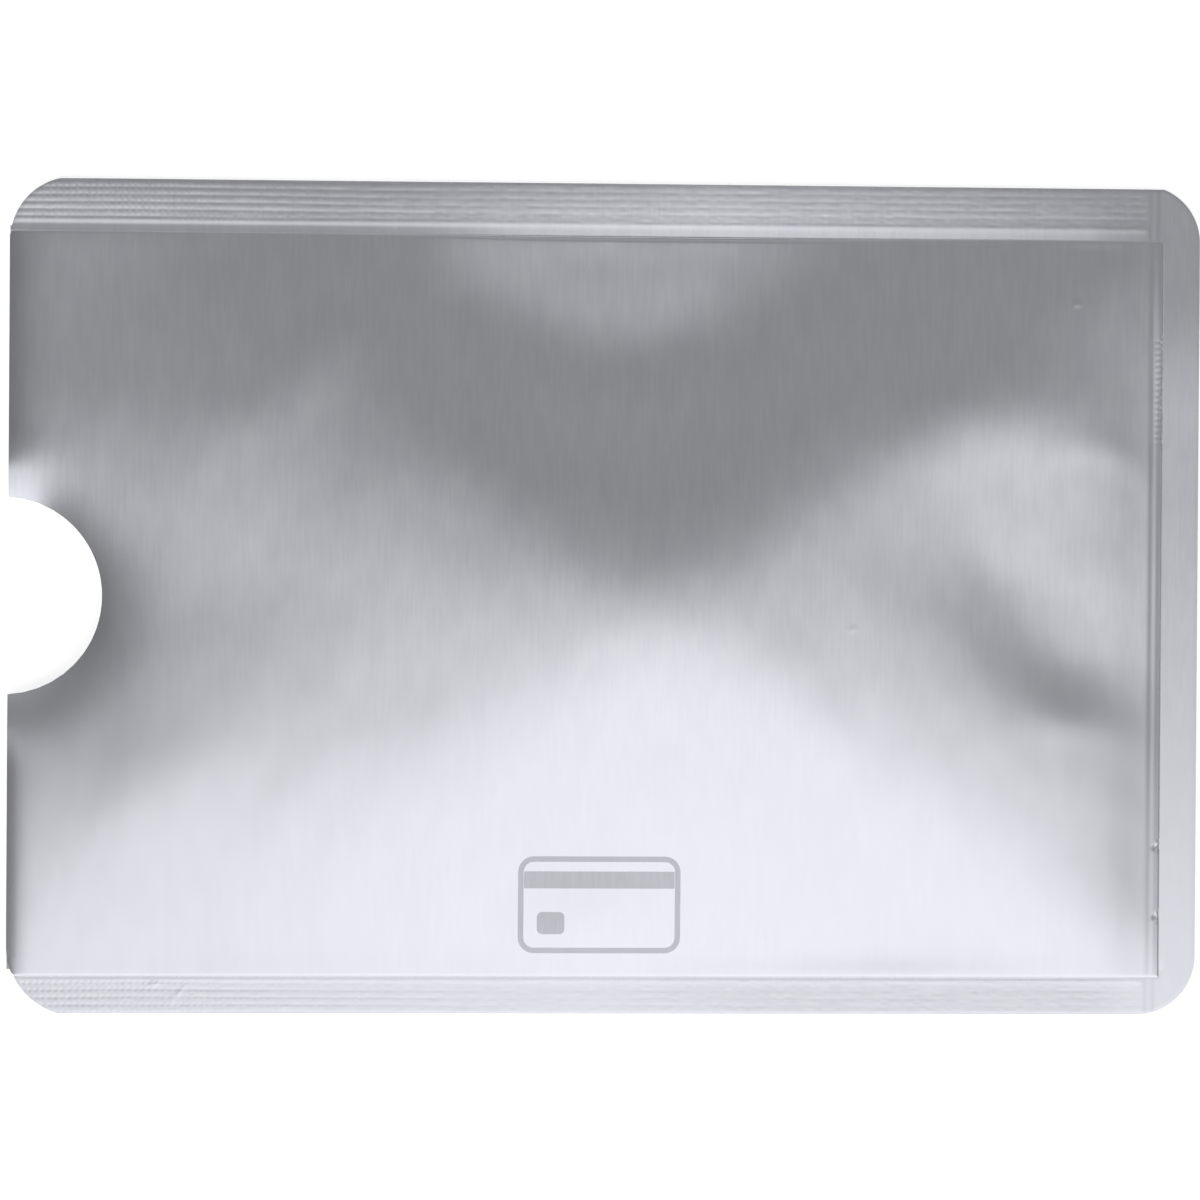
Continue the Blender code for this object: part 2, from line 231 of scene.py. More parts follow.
# Printed mark: a plain card with a stripe and a chip (middle x and y, length, width, corner; mm)
MARK_CARD = (-0.5, -23.3, 12.4, 7.4, 1.2)
MARK_STRIPE = (-0.5, -21.4, 11.5, 1.3, 0.1)
MARK_CHIP = (-4.2, -24.7, 2.1, 1.7, 0.4)
MARK_LINE = 0.42
INK_LOW = 0.001 * MM
INK_HIGH = 0.004 * MM

# Studio: strengths of the light, and the directions at which it changes
DARK, LIT = 0.24, 1.06
DARK_AT, LIT_AT = 0.092, -0.112
MOUTH_EDGE_AT, MOUTH_EDGE_SLANT = 0.075, 2.2
END_EDGE_AT, END_EDGE_SLANT = 0.21, 1.0
FAR_LIGHT = 0.08
MOUTH_DIM = 0.62
WALL_LIGHT, WALL_FALL_X, WALL_FALL_Y = 0.58, 0.33, 0.33
FAR_LIGHT_FROM, FAR_LIGHT_TO = 0.12, 0.25
DIM_FROM, DIM_TO = 0.12, 0.32
WALLS_FROM, WALLS_TO = 0.88, 0.6
FLOOR_GLOW = 0.6

# The film's streaks: where across the sleeve they are weak and full, and their tones
STREAKS_WEAK_Y, STREAKS_FULL_Y = -14 * MM, 2 * MM
STREAK_DARK = (0.852, 0.865, 0.931, 1)
STREAK_LIGHT = (0.908, 0.921, 0.981, 1)

# Fineness of the meshes, how near their points come to edges and steps, and how they are shaded
POCKET_CELL = 0.42 * MM
RIB_CELL = (0.12 * MM, 0.09 * MM)
PLAIN_CELL = (0.42 * MM, 0.3 * MM)
EDGE_CELL = 0.30 * MM
RIM_MARGIN = 0.05 * MM
STEP_MARGIN = 0.15 * MM
CREASE_MARGIN = 0.35 * MM
SHOULDER_ROWS = 12
SHARP_ABOVE_DEGREES = 50
UV_PER_METRE = 10


def smooth(t):
    """0 below t = 0, 1 above t = 1, level at both ends."""
    t = np.clip(t, 0, 1)
    return t * t * (3 - 2 * t)


def softly_random(x, y, cell_x, cell_y, seed):
    """Smooth noise from -1 to 1, with lattice cells of the given size."""
    lattice = np.random.RandomState(seed).uniform(-1, 1, (64, 64))
    u = x / cell_x + 1000
    v = y / cell_y + 1000
    i, j = np.floor(u).astype(int), np.floor(v).astype(int)
    s, t = smooth(u - i), smooth(v - j)
    value = 0
    for di, share_i in ((0, 1 - s), (1, s)):
        for dj, share_j in ((0, 1 - t), (1, t)):
            value = value + lattice[(i + di) % 64, (j + dj) % 64] * share_i * share_j
    return value


def climb(x, y, inset=0.0):
    """0 on the sealed bands, 1 on the pocket, rising over the shoulders."""
    upper = (UPPER_RISE_Y - inset - y) / (UPPER_RISE_Y - inset - UPPER_CREASE_Y)
    lower = (y - LOWER_RISE_Y - inset) / (LOWER_CREASE_Y - LOWER_RISE_Y - inset)
    end = (END_RISE_X - inset - x) / (END_RISE_X - inset - END_CREASE_X)
    share = np.clip(np.minimum(np.minimum(upper, lower), end), 0, 1)
    rounder = np.exp(-((x - ROUND_MIDDLE_X) / ROUND_HALF_LENGTH) ** 4) * (y > 0)
    squareness = SQUARE_SHOULDER - (SQUARE_SHOULDER - ROUND_SHOULDER) * rounder
    return (1 - (1 - share) ** squareness) ** (1 / squareness)


def soft_least(shares, softness):
    """The least of several shares, with a rounded change from one to the next."""
    return -softness * np.log(sum(np.exp(-share / softness) for share in shares))


def bell(x, y, middle_x, middle_y, degrees, half_length, half_width, height, bend=0, lean=0):
    """A rise or hollow along a line, with bell-shaped sections (mm and degrees)."""
    angle = math.radians(degrees)
    dx, dy = x - middle_x * MM, y - middle_y * MM
    along = (dx * math.cos(angle) + dy * math.sin(angle)) / (half_length * MM)
    across = (dy * math.cos(angle) - dx * math.sin(angle) - bend * MM * along**2) / (half_width * MM)
    across = across - lean * (np.sqrt(1 + across**2) - 1)
    return height * MM * np.exp(-along**2 - across**2)


def mouth_curl(x, y):
    """How far the wall curls down towards the mouth edge and the thumb notch."""
    from_edge = np.maximum(x - MOUTH_X, 0)
    from_notch = np.maximum(np.hypot(x - NOTCH_X, y) - NOTCH_RADIUS, 0)
    lower = 1 - smooth((y - LOWER_CURL_FULL_Y) / LOWER_CURL_FADE)
    depth = CURL_DEPTH * (1 - (1 - LOWER_CURL_SHARE) * lower)
    width = CURL_WIDTH * (1 - LOWER_CURL_NARROWER * lower)
    beside_notch = smooth((from_notch - CURL_CLEARS_NOTCH) / CURL_CLEARS_OVER)
    edge = depth * np.exp(-from_edge / width) * beside_notch
    return edge + NOTCH_CURL_DEPTH * np.exp(-from_notch / NOTCH_CURL_WIDTH)


def crown(x, y):
    """Height of the front wall above its roof level."""
    shares = (
        (x - MOUTH_X) / (PEAK_X - MOUTH_X),
        (END_CREASE_X - x) / (END_CREASE_X - PEAK_X),
        (UPPER_CREASE_Y - y) / (UPPER_CREASE_Y - PEAK_Y),
        (y - LOWER_CREASE_Y) / (PEAK_Y - LOWER_CREASE_Y),
    )
    to_end = smooth((x - SHARPER_FROM) / (SHARP_FROM - SHARPER_FROM))
    down = smooth((y - SOFTER_BELOW) / (SOFT_BELOW - SOFTER_BELOW))
    sharp = SHARP_HIP + (LOWER_HIP - SHARP_HIP) * down
    rise = soft_least(shares, SOFT_HIP + (sharp - SOFT_HIP) * to_end)
    roll = END_ROLL * smooth((x - END_ROLLS_FROM) / (END_ROLLS_TO - END_ROLLS_FROM))
    folded = sum(bell(x, y, *fold) for fold in FOLDS.values())
    return CROWN_HEIGHT * rise + folded - mouth_curl(x, y) - roll


def flange_lift(x, y):
    """The sealed bands bend up towards their outer edges, the upper one in an arch, and the end band has
    a slight wave."""
    on_strip, at_foot, at_edge = (np.interp(x, ARCH_X, slopes)
                                  for slopes in (ARCH_ON_STRIP, ARCH_AT_FOOT, ARCH_AT_EDGE))
    strip = np.clip(y, UPPER_RISE_Y, UPPER_FOOT_Y) - UPPER_RISE_Y
    outwards = np.maximum(y - UPPER_FOOT_Y, 0)
    share = outwards / (UPPER_Y - UPPER_FOOT_Y)
    upper = strip * on_strip + outwards * (at_foot + (at_edge - at_foot) * share / 2)
    before_end = smooth((END_CREASE_X - x) / LIFT_ENDS_OVER)
    lower = np.interp(x, LOWER_LIFT_X, LOWER_LIFT) * np.maximum(LOWER_RISE_Y - y, 0)
    wave = END_WAVE_HEIGHT * np.exp(-((y - END_WAVE_Y) / END_WAVE_WIDTH) ** 2)
    at_end = smooth((x - END_CREASE_X) / (END_FOOT_X - END_CREASE_X))
    return before_end * (upper + lower) + wave * at_end


def wall_z(x, y, inset=0.0):
    """Underside of the front wall, without the fine marks on its film. The layers below the film rise
    from a foot that is a little inset, so that they stay behind its steep part."""
    risen = climb(x, y, inset)
    lines = sum(smooth((x - line_x) / END_LINE_WIDTH + 0.5) for line_x in END_LINES_X)
    lines = lines * (LINE_SHARE_ON_BANDS + (1 - LINE_SHARE_ON_BANDS) * risen)
    lines = lines * (1 - (1 - LINE_SHARE_LOWER) * smooth(-y / LINES_FADE_OVER))
    uneven = sum(height * softly_random(x, y, cell_x, cell_y, seed)
                 for cell_x, cell_y, height, seed in CRINKLES)
    pocket = risen * (ROOF_Z - SEAM_Z + crown(x, y) + uneven)
    return SEAM_Z + pocket + flange_lift(x, y) - END_LINE_DROP * lines


def ribs(x, y):
    """Height of the ribs and bead on the long bands. The ribs are knurled near the mouth, and break up
    into dashes beyond."""
    end_fade = smooth((END_CREASE_X - x) / RIB_ENDS_OVER)
    left = 1 - smooth((x - MOUTH_X) / KNURLED_LENGTH)
    broken = 0.5 + 0.5 * softly_random(x, y, 1.5 * MM, 0.3 * MM, 7)
    even = 0.8 + 0.2 * softly_random(x, y, 4 * MM, 0.9 * MM, 3)
    wander = 0.12 * RIB_PITCH * softly_random(x, y, 9 * MM, 2 * MM, 5)
    knurl_wander = 0.2 * KNURL_PITCH * softly_random(x, y, 3 * MM, 0.7 * MM, 9)
    knurl = 1 - (0.5 - 0.5 * np.cos(2 * np.pi * (x + knurl_wander) / KNURL_PITCH)) ** 2
    speckle = 1 + softly_random(x, y, 0.5 * MM, 0.22 * MM, 31)
    height = 0
    for inwards, foot, (least_knurl, strength, beyond) in (
            (UPPER_Y - y, UPPER_Y - UPPER_FOOT_Y, UPPER_BAND_RIBS),
            (y - LOWER_Y, LOWER_RISE_Y - LOWER_Y, LOWER_BAND_RIBS)):
        patchy = KNURL_VARIES * softly_random(x, y, 5 * MM, 1.1 * MM, 13)
        knurled = np.clip(least_knurl + patchy, 0, 1) * left
        depth = RIB_DEPTH * strength * (beyond * broken + (even - beyond * broken) * left)
        on_band = smooth((foot - RIB_SIDE_FADE - inwards) / RIB_SIDE_FADE) * end_fade
        wave = np.cos(2 * np.pi * (inwards + wander - RIB_PHASE) / RIB_PITCH)
        rib = (0.5 + 0.5 * wave) ** RIB_SHARPNESS
        bead = BEAD_HEIGHT * np.exp(-((inwards - foot + BEAD_INSET) / BEAD_WIDTH) ** 2)
        pressed = depth * rib * (1 - knurled * knurl) + SPECKLE * speckle
        height = height - on_band * pressed + bead * end_fade
    return height


def small_marks():
    """Each dent, nick and scratch, and the row of ticks that crosses the end band."""
    ticks = [(TICK_X, y, TICK_DEGREES, *TICK_SIZE)
             for y in np.linspace(TICK_HIGH_Y, TICK_LOW_Y, TICK_COUNT)]
    return list(MARKS.values()) + ticks


def surface_marks(x, y):
    """Height of everything fine on the outer film."""
    rolled = EDGE_ROLL * np.exp(-(rim_depth(x, y) / EDGE_ROLL_WIDTH) ** 2)
    return ribs(x, y) + sum(bell(x, y, *mark) for mark in small_marks()) - rolled


def film_top(x, y):
    """The outer film's face, with everything fine on it."""
    return wall_z(x, y) + surface_marks(x, y) + FILM_TOP


def under_marks(x, y):
    """The wall just below the deepest of the marks, which lie on the bands."""
    on_bands = climb(x, y, UNDER_INSET) < ON_BANDS_BELOW
    return wall_z(x, y, UNDER_INSET) - (RIB_DEPTH + EDGE_ROLL) * on_bands


def back_z(x, y):
    """Underside of the back film: slight waves, and the backs of the ribs."""
    waves = BACK_WAVE * (1 + softly_random(x, y, 13 * MM, 8 * MM, 11))
    return waves + RIB_DEPTH + np.minimum(ribs(x, y), 0)


def corner_arc(corner, cell):
    """Points of a corner's arc, from the short edge to the long one."""
    side_x, edge_y, radius, trim = CORNERS[corner]
    to_side, to_edge = math.copysign(1, side_x), math.copysign(1, edge_y)
    centre_x = side_x - to_side * radius
    centre_y = edge_y - to_edge * (radius - trim)
    reach = math.asin((radius - trim) / radius)
    angles = np.linspace(0, reach, math.ceil(reach * radius / cell) + 1)
    return [(centre_x + to_side * radius * math.cos(a), centre_y + to_edge * radius * math.sin(a))
            for a in angles]


def notch_arc(cell):
    half = math.acos((MOUTH_X - NOTCH_X) / NOTCH_RADIUS)
    angles = np.linspace(half, -half, math.ceil(2 * half * NOTCH_RADIUS / cell) + 1)
    return [(NOTCH_X + NOTCH_RADIUS * math.cos(a), NOTCH_RADIUS * math.sin(a)) for a in angles]


def joined(arcs, cell):
    """A closed outline through the arcs, with points along the straight runs between them."""
    points = []
    for arc, following in zip(arcs, arcs[1:] + arcs[:1]):
        start, end = np.array(arc[-1]), np.array(following[0])
        count = max(1, math.ceil(np.linalg.norm(end - start) / cell))
        run = [tuple(start + (end - start) * i / count) for i in range(1, count)]
        points += arc + run
    return points


def sleeve_outline(cell):
    return joined([
        corner_arc("upper_mouth", cell)[::-1],
        notch_arc(cell),
        corner_arc("lower_mouth", cell),
        corner_arc("lower_end", cell)[::-1],
        corner_arc("upper_end", cell),
    ], cell)


def rim_depth(x, y):
    """Distance inwards from the sleeve's edge, below 0 outside."""
    depth = np.minimum.reduce([x - MOUTH_X, END_X - x, y - LOWER_Y, UPPER_Y - y])
    for side_x, edge_y, radius, trim in CORNERS.values():
        out_x = (x - side_x) * math.copysign(1, side_x) + radius
        out_y = (y - edge_y) * math.copysign(1, edge_y) + radius - trim
        arc_depth = radius - np.hypot(out_x, out_y)
        depth = np.where((out_x > 0) & (out_y > 0), np.minimum(depth, arc_depth), depth)
    return np.minimum(depth, np.hypot(x - NOTCH_X, y) - NOTCH_RADIUS)


def plan_of(outlines, points, depth=rim_depth):
    """Triangles over the inside of closed outlines, through the given points; depth is 0 at the edge."""
    coords, edges = [], []
    for outline in outlines:
        first, count = len(coords), len(outline)
        coords += [Vector(p) for p in outline]
        edges += [(first + i, first + (i + 1) % count) for i in range(count)]
    points = points[depth(points[:, 0], points[:, 1]) > RIM_MARGIN]
    coords += [Vector(p) for p in points.tolist()]
    verts, _, faces, *_ = delaunay_2d_cdt(coords, edges, [], 0, 1e-7, False)
    xy = np.array([tuple(v) for v in verts])
    tris = np.array([tuple(f) for f in faces])
    middle = xy[tris].mean(axis=1)
    return xy, tris[depth(middle[:, 0], middle[:, 1]) > 0]


def evenly(low, high, step):
    return np.linspace(low, high, max(2, round(abs(high - low) / step) + 1))


def lattice(xs, ys):
    gx, gy = np.meshgrid(xs, ys)
    return np.column_stack([gx.ravel(), gy.ravel()])


def level(y):
    """A straight line along the sleeve."""
    return lambda x: np.full_like(x, y)


def rows(xs, start, stop, shares):
    """Rows of points at these shares of the way from one line along the sleeve to another."""
    gx, share = np.meshgrid(xs, shares)
    return np.column_stack([gx.ravel(), (start(gx) * (1 - share) + stop(gx) * share).ravel()])


def wall_points(pocket_cell, band_cell, inset=0.0):
    """Points over the whole wall, closer together over the shoulders and the sealed bands."""
    along, across = band_cell
    last_x = END_CREASE_X - CREASE_MARGIN
    steep = np.linspace(0, 1, SHOULDER_ROWS + 1) ** 2
    flat = evenly(0, 1, across / (UPPER_Y - UPPER_RISE_Y))[1:]
    end_xs = np.concatenate([
        evenly(END_CREASE_X - CREASE_MARGIN / 2, END_CREASE_X - 0.05 * MM, 0.1 * MM),
        END_RISE_X - inset + (END_CREASE_X - END_RISE_X + inset) * steep,
        evenly(END_RISE_X + 0.1 * MM, END_X, 0.2 * MM),
    ])
    pocket_ys = evenly(LOWER_CREASE_Y + CREASE_MARGIN, UPPER_CREASE_Y - CREASE_MARGIN, pocket_cell)
    upper_rise, lower_rise = level(UPPER_RISE_Y - inset), level(LOWER_RISE_Y + inset)
    found = [lattice(evenly(MOUTH_X, last_x, pocket_cell), pocket_ys), lattice(end_xs, pocket_ys)]
    for xs in (evenly(MOUTH_X, last_x, along), end_xs):
        found += [
            rows(xs, upper_rise, level(UPPER_CREASE_Y), steep),
            rows(xs, upper_rise, level(UPPER_Y), flat),
            rows(xs, lower_rise, level(LOWER_CREASE_Y), steep),
            rows(xs, lower_rise, level(LOWER_Y), flat),
            rows(xs, level(UPPER_CREASE_Y - CREASE_MARGIN / 2),
                 level(LOWER_CREASE_Y + CREASE_MARGIN / 2), [0, 1]),
        ]
    return np.vstack(found)


def mark_points():
    """Close points over each small mark, but none on the steep shoulders."""
    patches = []
    for middle_x, middle_y, degrees, half_length, half_width, _ in small_marks():
        u, v = np.meshgrid(evenly(-2, 2, 0.12 / half_length), evenly(-2, 2, 0.07 / half_width))
        along, across = u.ravel() * half_length * MM, v.ravel() * half_width * MM
        angle = math.radians(degrees)
        patches.append(np.column_stack([
            middle_x * MM + along * math.cos(angle) - across * math.sin(angle),
            middle_y * MM + along * math.sin(angle) + across * math.cos(angle),
        ]))
    points = np.vstack(patches)
    x, y = points[:, 0], points[:, 1]
    off_steps = np.minimum.reduce([
        np.abs(x - END_RISE_X), np.abs(y - UPPER_RISE_Y), np.abs(y - LOWER_RISE_Y)])
    return points[off_steps > STEP_MARGIN]


def sheet(name, node, plan, low, high, material):
    """A closed thin sheet over a plan, between two surfaces. It may stand for a node."""
    xy, tris = plan
    used = np.unique(tris)
    place = np.full(len(xy), -1)
    place[used] = np.arange(len(used))
    xy, tris = xy[used], place[tris]
    ends = np.concatenate([tris[:, [0, 1]], tris[:, [1, 2]], tris[:, [2, 0]]])
    _, index, count = np.unique(
        np.sort(ends, axis=1), axis=0, return_inverse=True, return_counts=True)
    rim = ends[count[index.ravel()] == 1]
    n = len(xy)
    bottom = np.column_stack([xy, low(xy[:, 0], xy[:, 1])])
    top = np.column_stack([xy, high(xy[:, 0], xy[:, 1])])
    faces = np.vstack([tris + n, tris[:, ::-1]]).tolist()
    faces += [(a, b, b + n, a + n) for a, b in rim.tolist()]
    mesh = bpy.data.meshes.new(name)
    mesh.from_pydata(np.vstack([bottom, top]).tolist(), [], faces)
    mesh.shade_smooth()
    mesh.set_sharp_from_angle(angle=math.radians(SHARP_ABOVE_DEGREES))
    mesh.materials.append(material)
    flat = mesh.uv_layers.new(name="plan")
    corners = np.zeros(len(mesh.loops), dtype=int)
    mesh.loops.foreach_get("vertex_index", corners)
    flat.data.foreach_set("uv", np.vstack([xy, xy])[corners].ravel() * UV_PER_METRE)
    piece = bpy.data.objects.new(name, mesh)
    bpy.context.scene.collection.objects.link(piece)
    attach(piece, "root")
    if node:
        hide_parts(node)
    return piece


class Graph:
    """Short ways to add and link shader nodes."""

    def __init__(self, tree):
        self.tree = tree

    def add(self, kind, settings=(), inputs=()):
        node = self.tree.nodes.new(kind)
        for name, value in dict(settings).items():
            setattr(node, name, value)
        for name, value in dict(inputs).items():
            if isinstance(value, bpy.types.NodeSocket):
                self.tree.links.new(value, node.inputs[name])
            else:
                node.inputs[name].default_value = value
        return node

    def math(self, operation, first, second):
        node = self.add("ShaderNodeMath", {"operation": operation})
        for socket, value in zip(node.inputs, (first, second)):
            if isinstance(value, bpy.types.NodeSocket):
                self.tree.links.new(value, socket)
            else:
                socket.default_value = value
        return node.outputs[0]

    def ramp(self, value, low, high, out_low=0.0, out_high=1.0):
        """A smooth step of a value from one range to another."""
        node = self.add("ShaderNodeMapRange", {"interpolation_type": "SMOOTHSTEP"}, {
            "Value": value, "From Min": low, "From Max": high, "To Min": out_low, "To Max": out_high,
        })
        return node.outputs["Result"]

    def noise(self, vector, scale, detail=2.0):
        node = self.add("ShaderNodeTexNoise", (), {"Vector": vector, "Scale": scale, "Detail": detail})
        return node.outputs["Fac"]


def surface(name):
    """A new material with its graph, its Principled shader and a place in metres."""
    material = bpy.data.materials.new(name)
    material.use_nodes = True
    graph = Graph(material.node_tree)
    shader = material.node_tree.nodes["Principled BSDF"]
    place = graph.add("ShaderNodeTexCoord").outputs["Object"]
    return material, graph, shader, place


def stretched(graph, place, scale):
    return graph.add("ShaderNodeMapping", (), {"Vector": place, "Scale": scale}).outputs["Vector"]


def silver_film(name, lower_share):
    """Metallised film over rolled foil, whose fine rolling streaks run across the sleeve. On the lower
    half they have this share of their strength."""
    material, graph, shader, place = surface(name)
    across = graph.add("ShaderNodeSeparateXYZ", (), {"Vector": place}).outputs["Y"]
    contrast = graph.ramp(across, STREAKS_WEAK_Y, STREAKS_FULL_Y, lower_share, 1.0)
    fine = graph.noise(stretched(graph, place, (5200, 420, 420)), 1.0, 4.0)
    broad = graph.noise(stretched(graph, place, (700, 330, 330)), 1.0, 3.0)
    streaks = graph.math("ADD", graph.math("MULTIPLY", fine, 0.5), graph.math("MULTIPLY", broad, 0.6))
    streaks = graph.math("SUBTRACT", graph.ramp(streaks, 0.35, 0.75), 0.5)
    streaks = graph.math("MULTIPLY", streaks, contrast)
    tone = graph.add("ShaderNodeMix", {"data_type": "RGBA"}, {"Factor": graph.math("ADD", streaks, 0.5)})
    tone.inputs["A"].default_value = STREAK_DARK
    tone.inputs["B"].default_value = STREAK_LIGHT
    graph.tree.links.new(tone.outputs["Result"], shader.inputs["Base Color"])
    shader.inputs["Roughness"].default_value = 0.2
    shader.inputs["Metallic"].default_value = 1
    shader.inputs["Anisotropic"].default_value = 0.6
    tangent = graph.add("ShaderNodeTangent", {"direction_type": "UV_MAP", "uv_map": "plan"})
    graph.tree.links.new(tangent.outputs[0], shader.inputs["Tangent"])
    return material


def plain_metal(name, colour, roughness):
    """A metal with fine rolling grain in its tone and gloss."""
    material, graph, shader, place = surface(name)
    grain = graph.noise(stretched(graph, place, (5000, 500, 500)), 1.0, 3.0)
    tone = graph.add("ShaderNodeMix", {"data_type": "RGBA"}, {"Factor": graph.ramp(grain, 0.3, 0.7)})
    tone.inputs["A"].default_value = (*(0.93 * c for c in colour), 1)
    tone.inputs["B"].default_value = (*colour, 1)
    graph.tree.links.new(tone.outputs["Result"], shader.inputs["Base Color"])
    shader.inputs["Metallic"].default_value = 1
    gloss = graph.ramp(grain, 0.2, 0.8, roughness - 0.05, roughness + 0.05)
    graph.tree.links.new(gloss, shader.inputs["Roughness"])
    return material


def front_wall(film, foil, liner, fused):
    """The front wall's film, foil and inner film, and the three fused bands below them."""
    outline = sleeve_outline(EDGE_CELL)
    fine_points = np.vstack([wall_points(POCKET_CELL, RIB_CELL), mark_points()])
    plain_points = wall_points(POCKET_CELL, PLAIN_CELL, UNDER_INSET)
    sheet("front_film_skin", "front_film", plan_of([outline], fine_points),
          lambda x, y: film_top(x, y) - FILM_TOP + FILM_LOW, film_top, film)
    sheet("front_foil_skin", "front_foil", plan_of([outline], plain_points),
          lambda x, y: under_marks(x, y) + FOIL_LOW, lambda x, y: under_marks(x, y) + FOIL_TOP, foil)

    inner = END_CREASE_X - EDGE_GAP
    upper, lower = UPPER_CREASE_Y - EDGE_GAP, LOWER_CREASE_Y + EDGE_GAP
    pocket = joined([[(inner, lower)], [(inner, upper)], [(MOUTH_X, upper)], notch_arc(EDGE_CELL),
                     [(MOUTH_X, lower)]], EDGE_CELL)
    sheet("front_liner_skin", "front_liner",
          plan_of([pocket, outline], plain_points, lambda x, y: np.minimum.reduce(
              [rim_depth(x, y), inner - x, upper - y, y - lower])),
          under_marks, lambda x, y: under_marks(x, y) + LINER_TOP, liner)

    def seal_low(x, y):
        over_liner = (y < UPPER_FOOT_Y) & (y > LOWER_FOOT_Y) & (x < END_FOOT_X)
        return np.where(over_liner | (climb(x, y, UNDER_INSET) > 0), under_marks(x, y), BACK_LINER_Z)

    def seal_top(x, y):
        return under_marks(x, y) + LINER_TOP

    bands = {
        "upper_seal": (
            [[(inner, UPPER_CREASE_Y)], [(inner, UPPER_Y)], corner_arc("upper_mouth", EDGE_CELL)[::-1],
             [(MOUTH_X, UPPER_CREASE_Y)]],
            lambda x, y: np.minimum.reduce([rim_depth(x, y), inner - x, y - UPPER_CREASE_Y])),
        "lower_seal": (
            [[(MOUTH_X, LOWER_CREASE_Y)], corner_arc("lower_mouth", EDGE_CELL), [(inner, LOWER_Y)],
             [(inner, LOWER_CREASE_Y)]],
            lambda x, y: np.minimum.reduce([rim_depth(x, y), inner - x, LOWER_CREASE_Y - y])),
        "end_seal": (
            [[(END_CREASE_X, UPPER_Y)], [(END_CREASE_X, LOWER_Y)],
             corner_arc("lower_end", EDGE_CELL)[::-1], corner_arc("upper_end", EDGE_CELL)],
            lambda x, y: np.minimum(rim_depth(x, y), x - END_CREASE_X)),
    }
    for node, (arcs, depth) in bands.items():
        plan = plan_of([joined(arcs, EDGE_CELL), outline], plain_points, depth)
        sheet(node + "_skin", node, plan, seal_low, seal_top, fused)


def back_wall(film, foil, liner):
    """The back's film gets its waves and ribs; the layers above it keep their solids."""
    points = wall_points(2 * POCKET_CELL, (2 * RIB_CELL[0], RIB_CELL[1]))
    sheet("back_film_skin", "back_film", plan_of([sleeve_outline(EDGE_CELL)], points),
          back_z, lambda x, y: back_z(x, y) + FILM_TOP - FILM_LOW, film)
    for node, material in (("back_foil", foil), ("back_liner", liner)):
        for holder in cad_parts[node].material_slots:
            holder.material = material


def rounded_box(box):
    """Closed outline of a box with rounded corners."""
    middle_x, middle_y, length, width, corner = box
    arcs = []
    for quarter in range(4):
        turn = math.pi / 2 * quarter
        to_x = 1 if quarter in (0, 3) else -1
        to_y = 1 if quarter < 2 else -1
        arcs.append([(
            (middle_x + to_x * (length / 2 - corner) + corner * math.cos(turn + a)) * MM,
            (middle_y + to_y * (width / 2 - corner) + corner * math.sin(turn + a)) * MM,
        ) for a in np.linspace(0, math.pi / 2, 7)])
    return joined(arcs, 0.2 * MM)


def box_depth(box):
    """Distance inwards from a rounded box's edge."""
    middle_x, middle_y, length, width, corner = box

    def depth(x, y):
        out_x = np.abs(x - middle_x * MM) - (length / 2 - corner) * MM
        out_y = np.abs(y - middle_y * MM) - (width / 2 - corner) * MM
        beyond = np.hypot(np.maximum(out_x, 0), np.maximum(out_y, 0))
        return corner * MM - beyond - np.minimum(np.maximum(out_x, out_y), 0)
    return depth


def printed_mark(ink):
    """The card pictogram on the lower half, as thin ink on the film."""
    middle_x, middle_y, length, width, corner = MARK_CARD
    inside = (middle_x, middle_y, length - 2 * MARK_LINE, width - 2 * MARK_LINE, corner - MARK_LINE)
    across = lattice(evenly(-7 * MM, 6 * MM, 0.3 * MM), evenly(-27 * MM, -19 * MM, 0.3 * MM))
    card, hollow = box_depth(MARK_CARD), box_depth(inside)
    plans = {
        "mark_outline": plan_of([rounded_box(MARK_CARD), rounded_box(inside)], across,
                                lambda x, y: np.minimum(card(x, y), -hollow(x, y))),
        "mark_stripe": plan_of([rounded_box(MARK_STRIPE)], across, box_depth(MARK_STRIPE)),
        "mark_chip": plan_of([rounded_box(MARK_CHIP)], across, box_depth(MARK_CHIP)),
    }
    for name, plan in plans.items():
        sheet(name, None, plan, lambda x, y: film_top(x, y) + INK_LOW,
              lambda x, y: film_top(x, y) + INK_HIGH, ink)


def floor_piece():
    """A plain pale floor that is wider than the picture."""
    bpy.ops.mesh.primitive_plane_add(size=4, location=(0, 0, -0.02 * MM))
    floor = bpy.context.object
    floor.name = "floor"
    material, graph, shader, place = surface("pale_floor")
    grain = graph.noise(place, 40.0, 2.0)
    shader.inputs["Base Color"].default_value = (0.94, 0.94, 0.94, 1)
    graph.tree.links.new(graph.ramp(grain, 0.3, 0.7, 0.85, 0.95), shader.inputs["Roughness"])
    shader.inputs["Emission Color"].default_value = (1, 1, 1, 1)
    shader.inputs["Emission Strength"].default_value = FLOOR_GLOW
    floor.data.materials.append(material)


